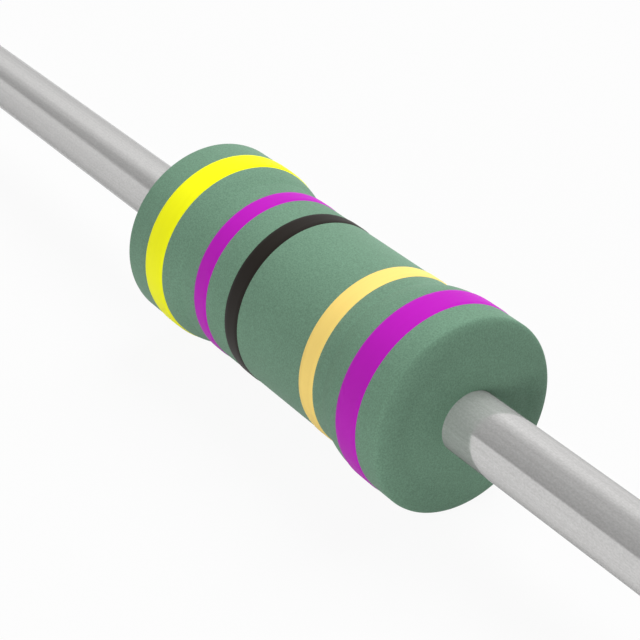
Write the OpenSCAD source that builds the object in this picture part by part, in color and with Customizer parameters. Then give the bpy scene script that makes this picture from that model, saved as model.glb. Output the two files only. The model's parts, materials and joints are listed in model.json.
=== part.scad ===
// Axial film resistor, size 0204: a capped ceramic rod in a dog-bone lacquer coat, with two wire leads and five
// colour bands. Millimetres. The origin is the centre of the body, and the leads lie along X.

/* [Body] */
// Length of the coated body, from lead to lead
body_l = 3.6; // [3.3:0.05:4.2]
// Diameter of the coat over the end caps
body_d = 1.57; // [1.4:0.01:1.8]
// How far the waist lies under the surface of the thick ends
waist_drop = 0.0675; // [0.04:0.0025:0.1]
// Length of the slope between the waist and each thick end
neck_l = 0.38; // [0.3:0.01:0.5]
// Length of that slope before it reaches the end cap under it
neck_before_cap = 0.09; // [0.05:0.01:0.15]
// Steepness of that slope where it leaves the waist
neck_power = 2.5; // [1.5:0.1:4]
// Rounding of the end rims, measured along the axis
rim_round_l = 0.065; // [0.04:0.005:0.12]
// Rounding of the end rims, measured across the face
rim_round_w = 0.235; // [0.1:0.005:0.3]
// Rise of each end face from its rim to the lead
face_dome = 0.025; // [0.01:0.005:0.04]
// Thickness of the coat around the end caps
coat_side_t = 0.085; // [0.07:0.005:0.12]
// Thickness of the coat on the end caps' faces, beside the lead
coat_face_t = 0.09; // [0.08:0.005:0.13]

/* [End caps] */
// Length of an end cap
cap_l = 0.63; // [0.5:0.01:0.7]
// Thickness of a cap's wall
cap_wall = 0.14; // [0.1:0.01:0.18]
// Thickness of a cap's base
cap_base = 0.15; // [0.12:0.01:0.2]
// Outer rounding between a cap's wall and its base
cap_round = 0.1; // [0.05:0.01:0.12]
// Rounding of a cap's open lip
lip_round = 0.03; // [0.02:0.005:0.05]
// Clearance between a cap's bore and the film: a press fit, line to line
cap_fit = 0; // [0:0.005:0.01]

/* [Ceramic rod and film] */
// Chamfer on the rod's ends
rod_chamfer = 0.04; // [0.02:0.01:0.08]
// Thickness of the resistive film
film_t = 0.01; // [0.01:0.005:0.03]
// Turns of the helical trimming cut
trim_turns = 5; // [3:1:6]
// Width of the trimming cut
trim_w = 0.06; // [0.04:0.01:0.1]
// Length of whole film between the cut and each cap
trim_land = 0.28; // [0.15:0.01:0.4]

/* [Leads] */
// Diameter of the lead wire
lead_d = 0.5; // [0.4:0.01:0.6]
// Length of each lead outside the coat
lead_l = 29; // [5:1:35]
// Height of the weld collar at a lead's foot
weld_h = 0.05; // [0.03:0.005:0.06]
// Width of the weld collar around the wire
weld_w = 0.08; // [0.04:0.01:0.1]
// Clearance between a lead and the coat around it: the lacquer wets the wire
coat_fit = 0; // [0:0.005:0.01]

/* [Colour bands] */
// Thickness of the marking lacquer
band_t = 0.01; // [0.01:0.005:0.02]
// Width of the two outer bands
outer_band_w = 0.25; // [0.15:0.01:0.27]
// Width of the three inner bands
inner_band_w = 0.18; // [0.12:0.01:0.22]
// From the first digit's end of the body to its band
first_band_inset = 0.35; // [0.25:0.01:0.4]
// From the first digit's band to the second's
second_band_gap = 0.4; // [0.3:0.01:0.45]
// From the second digit's band to the third's
third_band_gap = 0.275; // [0.2:0.005:0.35]
// From the tolerance end of the body to its band
tolerance_band_inset = 0.3; // [0.25:0.01:0.4]
// From the tolerance band to the multiplier band
multiplier_band_gap = 0.385; // [0.3:0.005:0.45]

/* [Hidden] */

$fn = 96;

// Radii, from the outside in
body_r = body_d / 2;
waist_r = body_r - waist_drop;
cap_r = body_r - coat_side_t;
cap_bore_r = cap_r - cap_wall;
film_r = cap_bore_r - cap_fit;
rod_r = film_r - film_t;
lead_r = lead_d / 2;
coat_hole_r = lead_r + coat_fit;

// Stations along the axis, measured from the centre
face_x = body_l / 2;
rim_x = face_x - face_dome;
cap_face_x = face_x - coat_face_t;
cap_lip_x = cap_face_x - cap_l;
neck_foot_x = cap_lip_x - neck_before_cap;
rod_end_x = cap_face_x - cap_base;
lead_end_x = face_x + lead_l;
trim_end_x = cap_lip_x - trim_land;
trim_pitch = 2 * trim_end_x / trim_turns;

// Each band runs from its start towards +X
first_band_x = first_band_inset - face_x;
second_band_x = first_band_x + outer_band_w + second_band_gap;
third_band_x = second_band_x + inner_band_w + third_band_gap;
tolerance_band_x = face_x - tolerance_band_inset - outer_band_w;
multiplier_band_x = tolerance_band_x - multiplier_band_gap - inner_band_w;

// How far a cutting shape runs past what it cuts
overcut = 0.05;
// Steps along each curved stretch of an outline
neck_steps = 12;
round_steps = 8;
dome_steps = 6;
trim_steps_per_turn = 24;

lacquer_green = [0.40, 0.52, 0.45];
yellow = [0.98, 0.97, 0.14];
violet = [0.75, 0.12, 0.75];
black = [0.16, 0.15, 0.14];
gold = [0.98, 0.86, 0.52];
tinned = [0.76, 0.76, 0.75];
plated_steel = [0.66, 0.66, 0.68];
ceramic_white = [0.93, 0.92, 0.88];
film_grey = [0.42, 0.40, 0.38];

// Outlines: X runs along the resistor's axis, and Y is the radius

// Turns an outline about the resistor's axis
module turned() {
    rotate([0, 90, 0])
        rotate_extrude()
            rotate(90)
                mirror([0, 1])
                    children();
}

// Draws an outline at the right end and its mirror image at the left
module at_both_ends() {
    children();
    mirror([1, 0])
        children();
}

// The outline of a plain cylinder between two stations
module cylinder_outline(x_from, x_to, radius) {
    translate([x_from, 0])
        square([x_to - x_from, radius]);
}

// The coat's right half, from the middle of the waist to the lead
function coat_half(grow) = concat(
    [for (i = [0:neck_steps])
        let (s = i / neck_steps)
        [neck_foot_x + neck_l * s, waist_r + grow + waist_drop * (1 - pow(1 - s, neck_power))]],
    [for (i = [0:round_steps])
        let (a = 90 * i / round_steps)
        [rim_x - rim_round_l * (1 - sin(a)), body_r + grow - rim_round_w * (1 - cos(a))]],
    [for (i = [1:dome_steps])
        let (s = 1 - i / dome_steps)
        [rim_x + face_dome * (1 - s * s), lead_r + (body_r - rim_round_w - lead_r) * s]]
);

// The coat's outline, with the lead's place still filled
module coat_outline(grow = 0) {
    right = coat_half(grow);
    left = [for (i = [len(right) - 1:-1:0]) [-right[i].x, right[i].y]];
    polygon(concat([[-face_x, 0]], left, right, [[face_x, 0]]));
}

module rod_outline() {
    polygon([
        [-rod_end_x, 0],
        [-rod_end_x, rod_r - rod_chamfer],
        [-rod_end_x + rod_chamfer, rod_r],
        [rod_end_x - rod_chamfer, rod_r],
        [rod_end_x, rod_r - rod_chamfer],
        [rod_end_x, 0],
    ]);
}

// The right cap as if it were solid: its base has a wide rounding, and its lip a small one
module cap_outline() {
    polygon(concat(
        [[cap_lip_x, 0]],
        [for (i = [0:round_steps])
            let (a = 90 * i / round_steps)
            [cap_lip_x + lip_round * (1 - cos(a)), cap_r - lip_round * (1 - sin(a))]],
        [for (i = [0:round_steps])
            let (a = 90 * i / round_steps)
            [cap_face_x - cap_round * (1 - sin(a)), cap_r - cap_round * (1 - cos(a))]],
        [[cap_face_x, 0]]
    ));
}

// The right lead, with the hollow-sided weld collar at its foot
module lead_outline(radius) {
    polygon(concat(
        [[cap_face_x, 0]],
        [for (i = [0:round_steps])
            let (a = 90 * i / round_steps)
            [cap_face_x + weld_h * (1 - cos(a)), radius + weld_w * (1 - sin(a))]],
        [[lead_end_x, radius], [lead_end_x, 0]]
    ));
}

// The helical slot in the film, as a ribbon of square section wound about X
module trimming_cut() {
    steps = trim_turns * trim_steps_per_turn;
    section = [
        [-trim_w / 2, rod_r - overcut],
        [trim_w / 2, rod_r - overcut],
        [trim_w / 2, film_r + overcut],
        [-trim_w / 2, film_r + overcut],
    ];
    points = [for (i = [0:steps])
        for (p = section)
            let (a = 360 * i / trim_steps_per_turn, x = -trim_end_x + trim_pitch * i / trim_steps_per_turn)
            [x + p.x, p.y * cos(a), p.y * sin(a)]];
    sides = [for (i = [0:steps - 1])
        for (k = [0:3])
            [4 * i + k, 4 * (i + 1) + k, 4 * (i + 1) + (k + 1) % 4, 4 * i + (k + 1) % 4]];
    polyhedron(points, concat([[0, 1, 2, 3]], sides, [[for (k = [3:-1:0]) 4 * steps + k]]), convexity = 10);
}

// Pieces

module ceramic_rod() {
    color(ceramic_white)
        turned()
            rod_outline();
}

module resistive_film() {
    color(film_grey)
        difference() {
            turned()
                difference() {
                    cylinder_outline(rod_chamfer - rod_end_x, rod_end_x - rod_chamfer, film_r);
                    rod_outline();
                }
            trimming_cut();
        }
}

module right_end_cap() {
    color(plated_steel)
        turned()
            difference() {
                cap_outline();
                cylinder_outline(cap_lip_x - overcut, rod_end_x, cap_bore_r);
            }
}

module left_end_cap() {
    mirror([1, 0, 0])
        right_end_cap();
}

module right_lead() {
    color(tinned)
        turned()
            lead_outline(lead_r);
}

module left_lead() {
    mirror([1, 0, 0])
        right_lead();
}

// The coat fills everything between its own outline and the pieces that it covers
module lacquer_coat() {
    color(lacquer_green)
        turned()
            difference() {
                coat_outline();
                cylinder_outline(-cap_face_x, cap_face_x, film_r);
                at_both_ends() {
                    cap_outline();
                    lead_outline(coat_hole_r);
                }
            }
}

// A ring of marking lacquer that follows the coat
module band(start_x, width, paint) {
    color(paint)
        turned()
            difference() {
                intersection() {
                    coat_outline(band_t);
                    cylinder_outline(start_x, start_x + width, body_d);
                }
                coat_outline();
            }
}

module first_digit_band() {
    band(first_band_x, outer_band_w, yellow);
}

module second_digit_band() {
    band(second_band_x, inner_band_w, violet);
}

module third_digit_band() {
    band(third_band_x, inner_band_w, black);
}

module multiplier_band() {
    band(multiplier_band_x, inner_band_w, gold);
}

module tolerance_band() {
    band(tolerance_band_x, outer_band_w, violet);
}

ceramic_rod();
resistive_film();
left_end_cap();
right_end_cap();
left_lead();
right_lead();
lacquer_coat();
first_digit_band();
second_digit_band();
third_digit_band();
multiplier_band();
tolerance_band();
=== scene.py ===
"""Small axial resistor: the finish of every piece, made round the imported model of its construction."""
import json
import math
import bmesh
import bpy
from bpy.props import FloatProperty, FloatVectorProperty, PointerProperty
from bpy.types import Operator, Panel, PropertyGroup
from mathutils import Matrix, Vector


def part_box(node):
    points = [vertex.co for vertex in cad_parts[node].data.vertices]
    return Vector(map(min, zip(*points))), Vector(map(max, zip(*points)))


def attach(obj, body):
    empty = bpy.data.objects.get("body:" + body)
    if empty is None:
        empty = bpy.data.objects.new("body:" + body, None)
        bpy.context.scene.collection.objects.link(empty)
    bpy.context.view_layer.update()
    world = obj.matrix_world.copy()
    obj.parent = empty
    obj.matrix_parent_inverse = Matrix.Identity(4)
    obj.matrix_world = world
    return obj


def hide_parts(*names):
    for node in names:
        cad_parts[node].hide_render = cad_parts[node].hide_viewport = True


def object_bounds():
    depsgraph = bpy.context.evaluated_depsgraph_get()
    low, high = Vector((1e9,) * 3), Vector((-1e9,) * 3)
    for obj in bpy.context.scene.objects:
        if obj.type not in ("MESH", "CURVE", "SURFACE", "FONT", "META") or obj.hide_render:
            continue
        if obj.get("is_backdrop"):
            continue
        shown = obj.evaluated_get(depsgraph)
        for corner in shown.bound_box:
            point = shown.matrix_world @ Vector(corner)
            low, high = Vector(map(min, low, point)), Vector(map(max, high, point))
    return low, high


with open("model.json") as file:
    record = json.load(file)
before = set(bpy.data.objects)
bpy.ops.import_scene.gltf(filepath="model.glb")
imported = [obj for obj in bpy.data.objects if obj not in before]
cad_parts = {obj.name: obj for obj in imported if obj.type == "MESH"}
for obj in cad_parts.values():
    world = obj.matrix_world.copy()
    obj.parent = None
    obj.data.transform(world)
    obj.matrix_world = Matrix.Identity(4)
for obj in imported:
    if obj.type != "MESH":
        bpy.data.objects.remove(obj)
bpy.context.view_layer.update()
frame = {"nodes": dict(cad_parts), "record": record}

bl_info = {
    "name": "Axial Resistor",
    "version": (1, 0, 0),
    "blender": (4, 5, 0),
    "location": "View3D > Sidebar > Resistor",
    "description": "Adds a lacquered axial resistor with its colour bands, its wires and a small studio",
    "category": "Add Mesh",
}

# One millimetre in metres. Each piece's mesh is worked in millimetres and scaled once, at the end.
MM = 0.001
# How finely shapes are drawn: steps round the axis, and steps along each stretch of an outline
TURN_STEPS = 160
NECK_STEPS = 28
ROUND_STEPS = 12
DOME_STEPS = 8
BAND_STEPS = 8
EDGE_STEPS = 6
CUT_STEPS = 4
# Points closer together than this, in millimetres, are one point.
WELD_DISTANCE = 0.00001
# Faces that meet at more than this angle keep a sharp edge between them.
SHARP_ANGLE = math.radians(40)
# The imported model's bands stand this far above the coat, in millimetres. Here they are drawn thinner,
# because the photo's are nearly flush with the coat.
PACKED_INK = 0.01


def far_corner(node):
    """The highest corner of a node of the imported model, in metres."""
    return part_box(node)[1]


def linear(hex_colour):
    """An opaque sRGB colour of six hex digits, turned to the linear values that Blender works in."""
    channels = []
    for start in (0, 2, 4):
        value = int(hex_colour[start:start + 2], 16) / 255
        if value <= 0.04045:
            channels.append(value / 12.92)
        else:
            channels.append(((value + 0.055) / 1.055) ** 2.4)
    return (*channels, 1.0)


def colour_property(name, description, hex_colour):
    """A colour that a user can change."""
    return FloatVectorProperty(
        name=name, description=description, default=linear(hex_colour),
        size=4, min=0.0, max=1.0, subtype="COLOR",
    )


def length_property(name, description, metres):
    """A length that a user can change."""
    return FloatProperty(
        name=name, description=description, default=metres,
        min=0.0, precision=6, unit="LENGTH",
    )


class ResistorSizes(PropertyGroup):
    """Sizes of the pieces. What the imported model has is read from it."""

    face_crown: length_property(
        "Face crown", "Centre of the body to the crown of its end face", far_corner("lacquer_coat").x)
    body_radius: length_property(
        "Body radius", "Radius of the two thick ends of the coat", far_corner("lacquer_coat").z)
    ink_thickness: length_property("Ink thickness", "How far a band stands above the coat", 0.006 * MM)
    ink_edge: length_property("Ink edge", "Width over which a band thins out towards its edge", 0.045 * MM)
    neck_length: length_property("Neck length", "Length over which the coat narrows", 0.38 * MM)
    neck_before_cap: length_property("Neck before cap", "How far the neck starts before the cap", 0.09 * MM)
    rim_round_length: length_property("Rim length", "Rounding of the rim along the axis", 0.065 * MM)
    rim_round_width: length_property("Rim width", "Rounding of the rim across the axis", 0.235 * MM)
    face_dome: length_property("Face dome", "How far the end face swells", 0.025 * MM)
    cap_round: length_property("Cap rounding", "Rounding round the base of the end cap", 0.1 * MM)
    lip_round: length_property("Lip rounding", "Rounding at the mouth of the end cap", 0.03 * MM)
    weld_height: length_property("Weld height", "Height of the collar where the wire is welded", 0.05 * MM)
    cut_round: length_property("Cut rounding", "Rounding where the wire is cropped", 0.03 * MM)
    neck_power: FloatProperty(
        name="Neck power", description="How suddenly the neck leaves the waist", default=2.5, min=1.0)


class ResistorColours(PropertyGroup):
    """Colours of the pieces and of the studio."""

    coat: colour_property("Coat", "Green baked lacquer", "6F917B")
    yellow: colour_property("Yellow", "Marking lacquer of the first digit", "FCFC1E")
    violet: colour_property("Violet", "Marking lacquer of the second digit and the tolerance", "BA20BA")
    black: colour_property("Black", "Marking lacquer of the third digit", "26221F")
    gold: colour_property("Gold", "Marking lacquer of the multiplier", "FFDE7E")
    tin: colour_property("Tin", "Hot tinned copper wire", "CDCCCB")
    alumina: colour_property("Alumina", "Ceramic rod under the film", "EDEAE0")
    film: colour_property("Film", "Resistive film on the rod", "6E675F")
    steel: colour_property("Steel", "Plated end caps", "B9B9BC")
    floor: colour_property("Floor", "Studio floor, by how much light it throws back", "C0C0C0")


class StudioSettings(PropertyGroup):
    """The camera's place round the body, matched to the outlines in the photo."""

    azimuth: FloatProperty(
        name="Azimuth", description="Bearing of the camera round the body",
        default=math.radians(55.70), subtype="ANGLE", unit="ROTATION")
    elevation: FloatProperty(
        name="Elevation", description="Height of the camera above the floor's horizon",
        default=math.radians(30.42), subtype="ANGLE", unit="ROTATION")
    distance: length_property("Distance", "Camera to the point that it looks at", 14.782 * MM)
    lens: FloatProperty(
        name="Lens", description="Focal length on a sensor 36 mm wide", default=106.93, unit="CAMERA")
    aim: FloatVectorProperty(
        name="Aim", description="The point that the camera looks at",
        default=(-0.0157 * MM, -0.0497 * MM, -0.0255 * MM), precision=6, unit="LENGTH", subtype="XYZ")


# Outlines: each point is (distance along the axis, distance from it), in millimetres

class CoatShape:
    """The coat and what it covers: their sizes in millimetres and their outlines."""

    def __init__(self, sizes):
        self.crown_x = sizes.face_crown / MM
        self.body_radius = sizes.body_radius / MM
        self.ink_thickness = sizes.ink_thickness / MM
        self.ink_edge = sizes.ink_edge / MM
        self.waist_radius = far_corner("third_digit_band").z / MM - PACKED_INK
        self.film_radius = far_corner("resistive_film").z / MM
        self.cap_lip_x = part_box("right_end_cap")[0].x / MM
        self.cap_face_x = far_corner("right_end_cap").x / MM
        self.cap_radius = far_corner("right_end_cap").z / MM
        self.cap_round = sizes.cap_round / MM
        self.lip_round = sizes.lip_round / MM
        self.weld_height = sizes.weld_height / MM
        self.weld_radius = far_corner("right_lead").z / MM
        self.wire_end_x = far_corner("right_lead").x / MM
        self.wire_radius = frame["record"]["mounts"][0]["dims"]["r_mm"]
        self.cut_round = sizes.cut_round / MM
        self.neck_foot_x = self.cap_lip_x - sizes.neck_before_cap / MM
        self.neck_length = sizes.neck_length / MM
        self.neck_power = sizes.neck_power
        self.rim_length = sizes.rim_round_length / MM
        self.rim_width = sizes.rim_round_width / MM
        self.face_dome = sizes.face_dome / MM
        self.rim_x = self.crown_x - self.face_dome

    def radius(self, x):
        """Radius of the coat at a place between its two rims."""
        along = (abs(x) - self.neck_foot_x) / self.neck_length
        along = min(max(along, 0.0), 1.0)
        rise = self.body_radius - self.waist_radius
        return self.waist_radius + rise * (1 - (1 - along) ** self.neck_power)

    def ink_height(self, inset):
        """Thickness of a band at a distance in from its edge."""
        return self.ink_thickness * (1 - (1 - min(inset / self.ink_edge, 1.0)) ** 2)

    def neck(self):
        """The outer line of the coat, from the waist to the thick end."""
        stations = [self.neck_foot_x + self.neck_length * i / NECK_STEPS for i in range(NECK_STEPS + 1)]
        return [(x, self.radius(x)) for x in stations]

    def rim(self):
        """The rounding between the thick end and the face."""
        return arc(self.rim_x - self.rim_length, self.body_radius - self.rim_width,
                   self.rim_length, self.rim_width, 90, 0)

    def face(self):
        """The slightly domed end face, from the rim in to the wire."""
        reach = self.body_radius - self.rim_width - self.wire_radius
        shares = [1 - i / DOME_STEPS for i in range(1, DOME_STEPS + 1)]
        return [(self.rim_x + self.face_dome * (1 - share * share), self.wire_radius + reach * share)
                for share in shares]

    def weld(self):
        """The hollow curve of the weld collar, from the cap out to the wire."""
        width = self.weld_radius - self.wire_radius
        return arc(self.cap_face_x + self.weld_height, self.weld_radius,
                   self.weld_height, width, 180, 270)

    def cavity(self):
        """The inside of the coat, from the weld out over the cap and in to the film."""
        base = arc(self.cap_face_x - self.cap_round, self.cap_radius - self.cap_round,
                   self.cap_round, self.cap_round, 0, 90)
        lip = arc(self.cap_lip_x + self.lip_round, self.cap_radius - self.lip_round,
                  self.lip_round, self.lip_round, 90, 180)
        return self.weld()[::-1] + base + lip + [(self.cap_lip_x, self.film_radius)]


def arc(x, r, along, across, start, end):
    """Points on an ellipse round (x, r), from one angle to another in degrees."""
    angles = [math.radians(start + (end - start) * i / ROUND_STEPS) for i in range(ROUND_STEPS + 1)]
    return [(x + along * math.cos(angle), r + across * math.sin(angle)) for angle in angles]


# Meshes

def turned(outline, closed=False, corners=(), rounding=0.0):
    """Turns an outline once round the X axis, with some of its corners rounded first."""
    bm = bmesh.new()
    points = [bm.verts.new((x, 0.0, r)) for x, r in outline]
    pairs = list(zip(points, points[1:]))
    if closed:
        pairs.append((points[-1], points[0]))
    for pair in pairs:
        bm.edges.new(pair)
    if corners:
        bmesh.ops.bevel(
            bm, geom=[points[i] for i in corners], offset=rounding, offset_type="OFFSET",
            segments=CUT_STEPS, profile=0.5, affect="VERTICES", material=-1,
        )
    bmesh.ops.spin(
        bm, geom=bm.verts[:] + bm.edges[:], cent=(0, 0, 0), axis=(1, 0, 0),
        angle=math.tau, steps=TURN_STEPS, use_merge=True,
    )
    bmesh.ops.remove_doubles(bm, verts=bm.verts, dist=WELD_DISTANCE)
    bmesh.ops.recalc_face_normals(bm, faces=bm.faces)
    return bm


def make_piece(name, bm, material, slot, *nodes):
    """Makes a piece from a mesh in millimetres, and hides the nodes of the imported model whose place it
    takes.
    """
    bmesh.ops.scale(bm, vec=(MM, MM, MM), verts=bm.verts)
    for face in bm.faces:
        face.smooth = True
    for edge in bm.edges:
        edge.smooth = edge.calc_face_angle(0.0) < SHARP_ANGLE
    mesh = bpy.data.meshes.new(name)
    bm.to_mesh(mesh)
    bm.free()
    mesh.materials.append(material)
    piece = bpy.data.objects.new(name, mesh)
    bpy.context.scene.collection.objects.link(piece)
    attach(piece, "root")
    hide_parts(*nodes)


def dress(node, material):
    """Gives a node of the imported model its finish, with its mesh as it is."""
    mesh = frame["nodes"][node].data
    mesh.materials.clear()
    mesh.materials.append(material)


# Materials

def add_node(tree, kind, settings=None, **inputs):
    """Adds a node, sets its properties, and fills each named input with a value or a link."""
    node = tree.nodes.new(kind)
    for name, value in (settings or {}).items():
        setattr(node, name, value)
    for name, value in inputs.items():
        socket = node.inputs[name.replace("_", " ")]
        if isinstance(value, bpy.types.NodeSocket):
            tree.links.new(value, socket)
        else:
            socket.default_value = value
    return node


def new_material(name):
    """A material with its shader, and the piece's own coordinates for its patterns."""
    material = bpy.data.materials.new(name)
    material.use_nodes = True
    tree = material.node_tree
    shader = tree.nodes["Principled BSDF"]
    place = add_node(tree, "ShaderNodeTexCoord").outputs["Object"]
    return material, tree, shader, place


def per_length(x, y, z):
    """Pattern scale for a feature of this many millimetres along each axis."""
    return (1 / (x * MM), 1 / (y * MM), 1 / (z * MM))


def baked_lacquer(colour):
    """Epoxy lacquer, rolled on and baked: an even satin green with a faint cloudiness and orange peel."""
    material, tree, shader, place = new_material("baked_epoxy_lacquer")
    # Pigment settles unevenly while the coat bakes, so the green drifts by a few per cent over half a
    # millimetre.
    cloud_place = add_node(tree, "ShaderNodeMapping", Vector=place, Scale=per_length(0.5, 0.5, 0.5))
    cloud = add_node(
        tree, "ShaderNodeTexNoise", Vector=cloud_place.outputs["Vector"], Scale=1.0, Detail=3.0)
    drift = add_node(tree, "ShaderNodeMapRange", Value=cloud.outputs["Fac"], To_Min=0.955, To_Max=1.045)
    clouded = add_node(tree, "ShaderNodeHueSaturation", Value=drift.outputs["Result"], Color=colour)
    # Ground pigment leaves specks of a few thousandths of a millimetre. They are drawn at about a
    # hundredth, so that they show.
    speck_place = add_node(tree, "ShaderNodeMapping", Vector=place, Scale=per_length(0.012, 0.012, 0.012))
    speck = add_node(
        tree, "ShaderNodeTexNoise", Vector=speck_place.outputs["Vector"], Scale=1.0, Detail=1.0)
    fleck = add_node(
        tree, "ShaderNodeMapRange", Value=speck.outputs["Fac"],
        From_Min=0.3, From_Max=0.7, To_Min=0.85, To_Max=1.15)
    green = add_node(
        tree, "ShaderNodeHueSaturation", Value=fleck.outputs["Result"], Color=clouded.outputs["Color"])
    tree.links.new(green.outputs["Color"], shader.inputs["Base Color"])
    # Orange peel: shallow bumps a twentieth of a millimetre wide that soften every reflection.
    peel_place = add_node(tree, "ShaderNodeMapping", Vector=place, Scale=per_length(0.05, 0.05, 0.05))
    peel = add_node(tree, "ShaderNodeTexNoise", Vector=peel_place.outputs["Vector"], Scale=1.0, Detail=2.0)
    bump = add_node(tree, "ShaderNodeBump", Height=peel.outputs["Fac"], Strength=1.0, Distance=0.0008 * MM)
    tree.links.new(bump.outputs["Normal"], shader.inputs["Normal"])
    satin = add_node(tree, "ShaderNodeMapRange", Value=peel.outputs["Fac"], To_Min=0.55, To_Max=0.65)
    tree.links.new(satin.outputs["Result"], shader.inputs["Roughness"])
    # Epoxy has an IOR of about 1.5. Its reflections are held back to what the photo shows.
    shader.inputs["IOR"].default_value = 1.5
    shader.inputs["Specular IOR Level"].default_value = 0.12
    return material


def marking_lacquer(name, colour):
    """Marking lacquer, rolled on as the body turns: opaque and satin, with faint lines around the body."""
    material, tree, shader, place = new_material(name)
    # The roller drags the ink, which leaves lines a hundredth of a millimetre wide round the body.
    # They are drawn twice as coarse as that, or none would show.
    drag_place = add_node(tree, "ShaderNodeMapping", Vector=place, Scale=per_length(0.02, 0.4, 0.4))
    drag = add_node(tree, "ShaderNodeTexNoise", Vector=drag_place.outputs["Vector"], Scale=1.0, Detail=2.0)
    tone = add_node(tree, "ShaderNodeMapRange", Value=drag.outputs["Fac"], To_Min=0.97, To_Max=1.03)
    ink = add_node(tree, "ShaderNodeHueSaturation", Value=tone.outputs["Result"], Color=colour)
    tree.links.new(ink.outputs["Color"], shader.inputs["Base Color"])
    bump = add_node(tree, "ShaderNodeBump", Height=drag.outputs["Fac"], Strength=1.0, Distance=0.0004 * MM)
    tree.links.new(bump.outputs["Normal"], shader.inputs["Normal"])
    satin = add_node(tree, "ShaderNodeMapRange", Value=drag.outputs["Fac"], To_Min=0.5, To_Max=0.6)
    tree.links.new(satin.outputs["Result"], shader.inputs["Roughness"])
    # As on the coat: the IOR of a lacquer, with its reflections held back.
    shader.inputs["IOR"].default_value = 1.5
    shader.inputs["Specular IOR Level"].default_value = 0.12
    return material


def tinned_copper(colour):
    """Copper wire, drawn and hot tinned: a bright grey mirror with fine die lines."""
    material, tree, shader, place = new_material("hot_tinned_copper")
    # The drawing die leaves lines along the wire, some millimetres long and about a hundredth of a
    # millimetre apart. They are drawn half as coarse again, so that they show.
    line_place = add_node(tree, "ShaderNodeMapping", Vector=place, Scale=per_length(3.0, 0.015, 0.015))
    lines = add_node(tree, "ShaderNodeTexNoise", Vector=line_place.outputs["Vector"], Scale=1.0, Detail=2.0)
    tone = add_node(tree, "ShaderNodeMapRange", Value=lines.outputs["Fac"], To_Min=0.9, To_Max=1.1)
    lined = add_node(tree, "ShaderNodeHueSaturation", Value=tone.outputs["Result"], Color=colour)
    # Tin freezes in crystals one or two hundredths of a millimetre across, each a little lighter or darker.
    crystal_place = add_node(tree, "ShaderNodeMapping", Vector=place, Scale=per_length(0.02, 0.012, 0.012))
    crystals = add_node(
        tree, "ShaderNodeTexNoise", Vector=crystal_place.outputs["Vector"], Scale=1.0, Detail=1.0)
    glint = add_node(
        tree, "ShaderNodeMapRange", Value=crystals.outputs["Fac"],
        From_Min=0.3, From_Max=0.7, To_Min=0.93, To_Max=1.07)
    tin = add_node(
        tree, "ShaderNodeHueSaturation", Value=glint.outputs["Result"], Color=lined.outputs["Color"])
    tree.links.new(tin.outputs["Color"], shader.inputs["Base Color"])
    gloss = add_node(
        tree, "ShaderNodeMapRange", Value=lines.outputs["Fac"],
        From_Min=0.4, From_Max=0.6, To_Min=0.05, To_Max=0.14)
    tree.links.new(gloss.outputs["Result"], shader.inputs["Roughness"])
    bump = add_node(tree, "ShaderNodeBump", Height=lines.outputs["Fac"], Strength=1.0, Distance=0.0001 * MM)
    tree.links.new(bump.outputs["Normal"], shader.inputs["Normal"])
    # Tin that has begun to dull is partly matt, so it keeps a pale tone of its own beside what it mirrors.
    # The grey tint keeps what it mirrors at a low angle from turning white. Both are matched to the photo.
    shader.inputs["Metallic"].default_value = 0.5
    shader.inputs["Specular Tint"].default_value = linear("787878")
    return material


def ground_alumina(colour):
    """Alumina ceramic, fired and ground to size: a dry off-white with a fine grain."""
    material, tree, shader, place = new_material("ground_alumina")
    # The ceramic's grains are a few thousandths of a millimetre wide. They are drawn at three hundredths,
    # so that they show.
    grain_place = add_node(tree, "ShaderNodeMapping", Vector=place, Scale=per_length(0.03, 0.03, 0.03))
    grain = add_node(
        tree, "ShaderNodeTexNoise", Vector=grain_place.outputs["Vector"], Scale=1.0, Detail=4.0)
    tone = add_node(tree, "ShaderNodeMapRange", Value=grain.outputs["Fac"], To_Min=0.9, To_Max=1.06)
    cream = add_node(tree, "ShaderNodeHueSaturation", Value=tone.outputs["Result"], Color=colour)
    tree.links.new(cream.outputs["Color"], shader.inputs["Base Color"])
    bump = add_node(tree, "ShaderNodeBump", Height=grain.outputs["Fac"], Strength=1.0, Distance=0.002 * MM)
    tree.links.new(bump.outputs["Normal"], shader.inputs["Normal"])
    # Fired and unglazed, so it is dry and rough. Alumina's IOR is about 1.7.
    shader.inputs["Roughness"].default_value = 0.75
    shader.inputs["IOR"].default_value = 1.7
    return material


def sputtered_film(colour):
    """Nickel-chromium film, sputtered on the rod: a dark satin metal that follows the ceramic's grain."""
    material, tree, shader, place = new_material("sputtered_nickel_chromium")
    # The film is far thinner than the ceramic's grains, so they come through. They are drawn at four
    # hundredths of a millimetre, so that they show.
    grain_place = add_node(tree, "ShaderNodeMapping", Vector=place, Scale=per_length(0.04, 0.04, 0.04))
    grain = add_node(
        tree, "ShaderNodeTexNoise", Vector=grain_place.outputs["Vector"], Scale=1.0, Detail=3.0)
    tone = add_node(tree, "ShaderNodeMapRange", Value=grain.outputs["Fac"], To_Min=0.85, To_Max=1.1)
    dark = add_node(tree, "ShaderNodeHueSaturation", Value=tone.outputs["Result"], Color=colour)
    tree.links.new(dark.outputs["Color"], shader.inputs["Base Color"])
    satin = add_node(tree, "ShaderNodeMapRange", Value=grain.outputs["Fac"], To_Min=0.35, To_Max=0.5)
    tree.links.new(satin.outputs["Result"], shader.inputs["Roughness"])
    shader.inputs["Metallic"].default_value = 1.0
    return material


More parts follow.
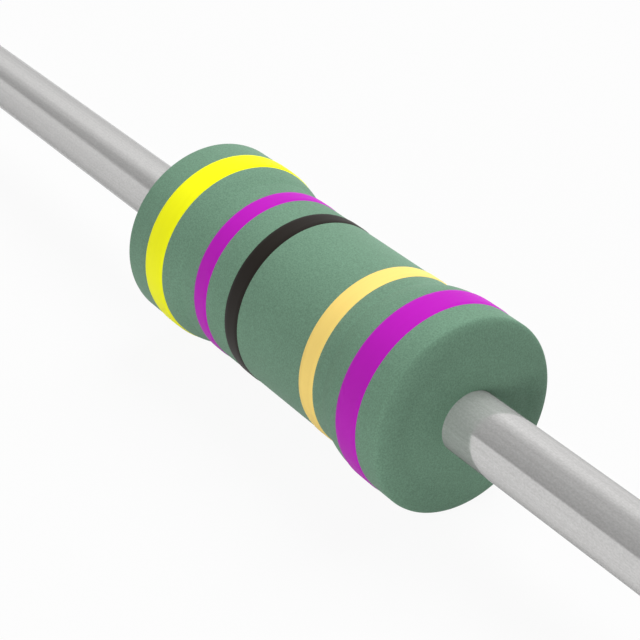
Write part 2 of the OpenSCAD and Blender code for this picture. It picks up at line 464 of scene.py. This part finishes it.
def plated_steel(colour):
    """Sheet steel, drawn into a cup and plated with tin: satin metal with faint rings from the tool."""
    material, tree, shader, place = new_material("drawn_and_plated_steel")
    # The drawing tool leaves rings round the cup, about two hundredths of a millimetre apart.
    ring_place = add_node(tree, "ShaderNodeMapping", Vector=place, Scale=per_length(0.02, 0.5, 0.5))
    rings = add_node(tree, "ShaderNodeTexNoise", Vector=ring_place.outputs["Vector"], Scale=1.0, Detail=2.0)
    tone = add_node(tree, "ShaderNodeMapRange", Value=rings.outputs["Fac"], To_Min=0.9, To_Max=1.08)
    grey = add_node(tree, "ShaderNodeHueSaturation", Value=tone.outputs["Result"], Color=colour)
    tree.links.new(grey.outputs["Color"], shader.inputs["Base Color"])
    satin = add_node(tree, "ShaderNodeMapRange", Value=rings.outputs["Fac"], To_Min=0.28, To_Max=0.42)
    tree.links.new(satin.outputs["Result"], shader.inputs["Roughness"])
    shader.inputs["Metallic"].default_value = 1.0
    return material


# Studio

# How far the floor reaches from the body each way, and how far the lamps stand from it, in metres
FLOOR_REACH = 2.5
LAMP_DISTANCE = 0.4
# The two soft lamps. Angles are in degrees, widths and heights in metres, and radiance is each face's own
# brightness. One stands above and behind the body, the other low in front.
KEY_LAMP = {"azimuth": -160, "elevation": 56, "width": 0.3, "height": 0.3, "radiance": 8.6}
FILL_LAMP = {"azimuth": 32, "elevation": 11, "width": 0.4, "height": 0.14, "radiance": 6.4}
# The backdrop is white up to this height all round, in degrees, and fades into the room over the next few.
BACKDROP_TOP = 13
BACKDROP_FADE = 5
# The room is pale round one place, which the camera looks towards, and dim elsewhere. The place is a
# bearing and a height in degrees, and the edge is the cosine of the angle from it at which all is dim.
PALE_PLACE = (-119, 23)
PALE_EDGE = 0.75
PALE_ROOM = 1.0
DIM_ROOM = 0.18
# The room's brightness as a light, beside the lamps. It is the same from all sides.
ROOM_LIGHT = 0.08
# How much of the floor's look is plain white. The rest takes the light, and with it the object's shadow.
FLOOR_WHITE = 0.94
# The floor turns all white between these two distances, in metres. The first is beyond the wires' ends, and
# the second is well before the backdrop, so that the floor meets it without a line.
SHADOW_REACH = 0.035
SHADOW_FADE = 4 * SHADOW_REACH
# Nothing nearer to the camera than this, in metres, is drawn.
NEAR_CLIP = 0.5 * MM


def seen_directly(tree):
    """1 for a ray from the camera or by way of metal or glass, and 0 for one that lights something."""
    path = add_node(tree, "ShaderNodeLightPath").outputs
    shiny = add_node(tree, "ShaderNodeMath", {"operation": "MAXIMUM"})
    tree.links.new(path["Is Glossy Ray"], shiny.inputs[0])
    tree.links.new(path["Is Transmission Ray"], shiny.inputs[1])
    seen = add_node(tree, "ShaderNodeMath", {"operation": "MAXIMUM"})
    tree.links.new(path["Is Camera Ray"], seen.inputs[0])
    tree.links.new(shiny.outputs["Value"], seen.inputs[1])
    return seen.outputs["Value"]


def studio_paper(colour):
    """Matt grey paper that is shown nearly white, all but the object's soft shadow."""
    material = bpy.data.materials.new("studio_paper")
    material.use_nodes = True
    tree = material.node_tree
    tree.nodes.remove(tree.nodes["Principled BSDF"])
    paper = add_node(tree, "ShaderNodeBsdfDiffuse", Color=colour)
    white = add_node(tree, "ShaderNodeEmission", Strength=1.0)
    place = add_node(tree, "ShaderNodeTexCoord").outputs["Object"]
    away = add_node(tree, "ShaderNodeVectorMath", {"operation": "LENGTH"}, Vector=place)
    share = add_node(
        tree, "ShaderNodeMapRange", Value=away.outputs["Value"],
        From_Min=SHADOW_REACH, From_Max=SHADOW_FADE, To_Min=FLOOR_WHITE, To_Max=1.0)
    shown = add_node(tree, "ShaderNodeMixShader", Fac=share.outputs["Result"])
    tree.links.new(paper.outputs["BSDF"], shown.inputs[1])
    tree.links.new(white.outputs["Emission"], shown.inputs[2])
    choice = add_node(tree, "ShaderNodeMixShader", Fac=seen_directly(tree))
    tree.links.new(paper.outputs["BSDF"], choice.inputs[1])
    tree.links.new(shown.outputs["Shader"], choice.inputs[2])
    tree.links.new(choice.outputs["Shader"], tree.nodes["Material Output"].inputs["Surface"])
    return material


def direction(azimuth, elevation):
    """Unit vector towards a bearing and a height, both in radians. Bearing 0 is in front, towards -Y."""
    flat = math.cos(elevation)
    return Vector((math.sin(azimuth) * flat, -math.cos(azimuth) * flat, math.sin(elevation)))


def light_room(scene):
    """A plain room: white at the horizon, and above that pale ahead of the camera and dim elsewhere."""
    world = bpy.data.worlds.new("pale_room")
    world.use_nodes = True
    tree = world.node_tree
    place = add_node(tree, "ShaderNodeTexCoord").outputs["Generated"]
    height = add_node(tree, "ShaderNodeSeparateXYZ", Vector=place).outputs["Z"]
    above = add_node(
        tree, "ShaderNodeMapRange", Value=height, To_Min=0.0, To_Max=1.0,
        From_Min=math.sin(math.radians(BACKDROP_TOP)),
        From_Max=math.sin(math.radians(BACKDROP_TOP + BACKDROP_FADE)),
    )
    ahead = add_node(tree, "ShaderNodeVectorMath", {"operation": "DOT_PRODUCT"})
    tree.links.new(place, ahead.inputs[0])
    ahead.inputs[1].default_value = direction(*map(math.radians, PALE_PLACE))
    room = add_node(
        tree, "ShaderNodeMapRange", {"interpolation_type": "SMOOTHSTEP"}, Value=ahead.outputs["Value"],
        From_Min=PALE_EDGE, From_Max=1.0, To_Min=DIM_ROOM, To_Max=PALE_ROOM,
    )
    mirrored = add_node(
        tree, "ShaderNodeMix", Factor=above.outputs["Result"], A=1.0, B=room.outputs["Result"])
    light = add_node(
        tree, "ShaderNodeMix", Factor=seen_directly(tree), A=ROOM_LIGHT, B=mirrored.outputs["Result"])
    tree.links.new(light.outputs["Result"], tree.nodes["Background"].inputs["Color"])
    scene.world = world


def add_floor(scene):
    """A wide level floor that the resistor lies on."""
    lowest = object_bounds()[0].z
    bm = bmesh.new()
    bmesh.ops.create_grid(bm, x_segments=1, y_segments=1, size=FLOOR_REACH)
    bmesh.ops.translate(bm, vec=(0.0, 0.0, lowest), verts=bm.verts)
    mesh = bpy.data.meshes.new("floor")
    bm.to_mesh(mesh)
    bm.free()
    mesh.materials.append(studio_paper(scene.resistor_colours.floor))
    floor = bpy.data.objects.new("floor", mesh)
    scene.collection.objects.link(floor)
    floor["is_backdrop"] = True


def add_camera(scene):
    """The camera, which looks at the body from the photo's viewing angle."""
    settings = scene.resistor_studio
    lens = bpy.data.cameras.new("camera")
    lens.lens = settings.lens
    lens.clip_start = NEAR_CLIP
    camera = bpy.data.objects.new("camera", lens)
    back = direction(settings.azimuth, settings.elevation)
    camera.location = Vector(settings.aim) + back * settings.distance
    camera.rotation_euler = (-back).to_track_quat("-Z", "Y").to_euler()
    scene.collection.objects.link(camera)
    scene.camera = camera


def add_softbox(scene, name, azimuth, elevation, width, height, radiance):
    """A soft lamp that faces the body and lights it, but shows in no reflection."""
    lamp = bpy.data.lights.new(name, "AREA")
    lamp.shape = "RECTANGLE"
    lamp.size = width
    lamp.size_y = height
    lamp.energy = radiance * width * height * math.pi
    box = bpy.data.objects.new(name, lamp)
    towards = direction(math.radians(azimuth), math.radians(elevation))
    box.location = towards * LAMP_DISTANCE
    box.rotation_mode = "QUATERNION"
    box.rotation_quaternion = towards.to_track_quat("Z", "Y")
    box.visible_camera = False
    box.visible_glossy = False
    scene.collection.objects.link(box)


# Operators

class RESISTOR_OT_studio(Operator):
    """Add the floor, the room, the soft lamps and the camera"""

    bl_idname = "resistor.add_studio"
    bl_label = "Studio"
    bl_options = {"REGISTER", "UNDO"}

    def execute(self, context):
        scene = context.scene
        add_floor(scene)
        light_room(scene)
        add_softbox(scene, "key_lamp", **KEY_LAMP)
        add_softbox(scene, "fill_lamp", **FILL_LAMP)
        add_camera(scene)
        scene.view_settings.view_transform = "Standard"
        return {"FINISHED"}


class RESISTOR_OT_core(Operator):
    """Finish the rod, the film and the end caps, which the coat hides"""

    bl_idname = "resistor.finish_core"
    bl_label = "Rod, film and caps"
    bl_options = {"REGISTER", "UNDO"}

    def execute(self, context):
        colours = context.scene.resistor_colours
        dress("ceramic_rod", ground_alumina(colours.alumina))
        dress("resistive_film", sputtered_film(colours.film))
        steel = plated_steel(colours.steel)
        dress("left_end_cap", steel)
        dress("right_end_cap", steel)
        return {"FINISHED"}


class RESISTOR_OT_coat(Operator):
    """Add the green lacquer coat, a closed shell over the caps and the film"""

    bl_idname = "resistor.add_coat"
    bl_label = "Lacquer coat"
    bl_options = {"REGISTER", "UNDO"}

    def execute(self, context):
        scene = context.scene
        shape = CoatShape(scene.resistor_sizes)
        outside = [(0.0, shape.waist_radius)] + shape.neck() + shape.rim() + shape.face()
        inside = shape.cavity() + [(0.0, shape.film_radius)]
        bm = turned(outside + inside)
        bmesh.ops.mirror(
            bm, geom=bm.verts[:] + bm.edges[:] + bm.faces[:], matrix=Matrix.Identity(4),
            merge_dist=WELD_DISTANCE, axis="X",
        )
        bmesh.ops.recalc_face_normals(bm, faces=bm.faces)
        material = baked_lacquer(scene.resistor_colours.coat)
        make_piece("green_coat", bm, material, "green_lacquer", "lacquer_coat")
        return {"FINISHED"}


# Each band: its name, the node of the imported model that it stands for, and its ink
BANDS = (
    ("yellow_first_band", "first_digit_band", "yellow"),
    ("violet_second_band", "second_digit_band", "violet"),
    ("black_third_band", "third_digit_band", "black"),
    ("gold_fourth_band", "multiplier_band", "gold"),
    ("violet_fifth_band", "tolerance_band", "violet"),
)


class RESISTOR_OT_bands(Operator):
    """Add the five printed colour bands"""

    bl_idname = "resistor.add_bands"
    bl_label = "Colour bands"
    bl_options = {"REGISTER", "UNDO"}

    def execute(self, context):
        scene = context.scene
        shape = CoatShape(scene.resistor_sizes)
        inks = {}
        for name, node, ink in BANDS:
            if ink not in inks:
                colour = getattr(scene.resistor_colours, ink)
                inks[ink] = marking_lacquer(f"{ink}_marking_lacquer", colour)
            self.add_band(shape, name, node, inks[ink], f"{ink}_ink")
        return {"FINISHED"}

    def add_band(self, shape, name, node, material, slot):
        """Adds one ring of ink that follows the coat between the node's two ends and thins out at both."""
        low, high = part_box(node)
        start = low.x / MM
        width = (high.x - low.x) / MM
        inset = [shape.ink_edge * i / EDGE_STEPS for i in range(EDGE_STEPS)]
        plain = width - 2 * shape.ink_edge
        middle = [shape.ink_edge + plain * i / BAND_STEPS for i in range(BAND_STEPS + 1)]
        across = inset + middle + [width - d for d in reversed(inset)]
        under = [(start + d, shape.radius(start + d)) for d in across]
        top = [(x, r + shape.ink_height(min(x - start, start + width - x))) for x, r in under[1:-1]]
        bm = turned(under + top[::-1], closed=True)
        make_piece(name, bm, material, slot, node)


class RESISTOR_OT_wires(Operator):
    """Add the two tinned wires, each with its weld collar"""

    bl_idname = "resistor.add_wires"
    bl_label = "Wires"
    bl_options = {"REGISTER", "UNDO"}

    def execute(self, context):
        scene = context.scene
        shape = CoatShape(scene.resistor_sizes)
        material = tinned_copper(scene.resistor_colours.tin)
        start = [(shape.cap_face_x, 0.0)]
        end = [(shape.wire_end_x, shape.wire_radius), (shape.wire_end_x, 0.0)]
        outline = start + shape.weld() + end
        corner = len(outline) - 2
        for side, name, node in ((-1, "left_wire", "left_lead"), (1, "right_wire", "right_lead")):
            bm = turned(outline, corners=(corner,), rounding=shape.cut_round)
            bmesh.ops.scale(bm, vec=(side, 1.0, 1.0), verts=bm.verts)
            bmesh.ops.recalc_face_normals(bm, faces=bm.faces)
            make_piece(name, bm, material, "tinned_copper", node)
        return {"FINISHED"}


class RESISTOR_PT_panel(Panel):
    """Lists the steps that make the resistor, with its sizes and colours"""

    bl_idname = "RESISTOR_PT_panel"
    bl_label = "Axial Resistor"
    bl_space_type = "VIEW_3D"
    bl_region_type = "UI"
    bl_category = "Resistor"

    def draw(self, context):
        layout = self.layout
        scene = context.scene
        for operator in OPERATORS:
            layout.operator(operator.bl_idname)
        for group in (scene.resistor_sizes, scene.resistor_colours, scene.resistor_studio):
            box = layout.box()
            for name in group.bl_rna.properties.keys():
                if name not in ("rna_type", "name"):
                    box.prop(group, name)


OPERATORS = (
    RESISTOR_OT_studio, RESISTOR_OT_core, RESISTOR_OT_coat, RESISTOR_OT_bands, RESISTOR_OT_wires,
)
CLASSES = (ResistorSizes, ResistorColours, StudioSettings, *OPERATORS, RESISTOR_PT_panel)


def register():
    for each in CLASSES:
        bpy.utils.register_class(each)
    bpy.types.Scene.resistor_sizes = PointerProperty(type=ResistorSizes)
    bpy.types.Scene.resistor_colours = PointerProperty(type=ResistorColours)
    bpy.types.Scene.resistor_studio = PointerProperty(type=StudioSettings)


def unregister():
    del bpy.types.Scene.resistor_studio
    del bpy.types.Scene.resistor_colours
    del bpy.types.Scene.resistor_sizes
    for each in reversed(CLASSES):
        bpy.utils.unregister_class(each)


def main():
    """Makes the studio and the resistor."""
    register()
    bpy.ops.resistor.add_studio()
    bpy.ops.resistor.finish_core()
    bpy.ops.resistor.add_coat()
    bpy.ops.resistor.add_bands()
    bpy.ops.resistor.add_wires()


if __name__ == "__main__":
    main()
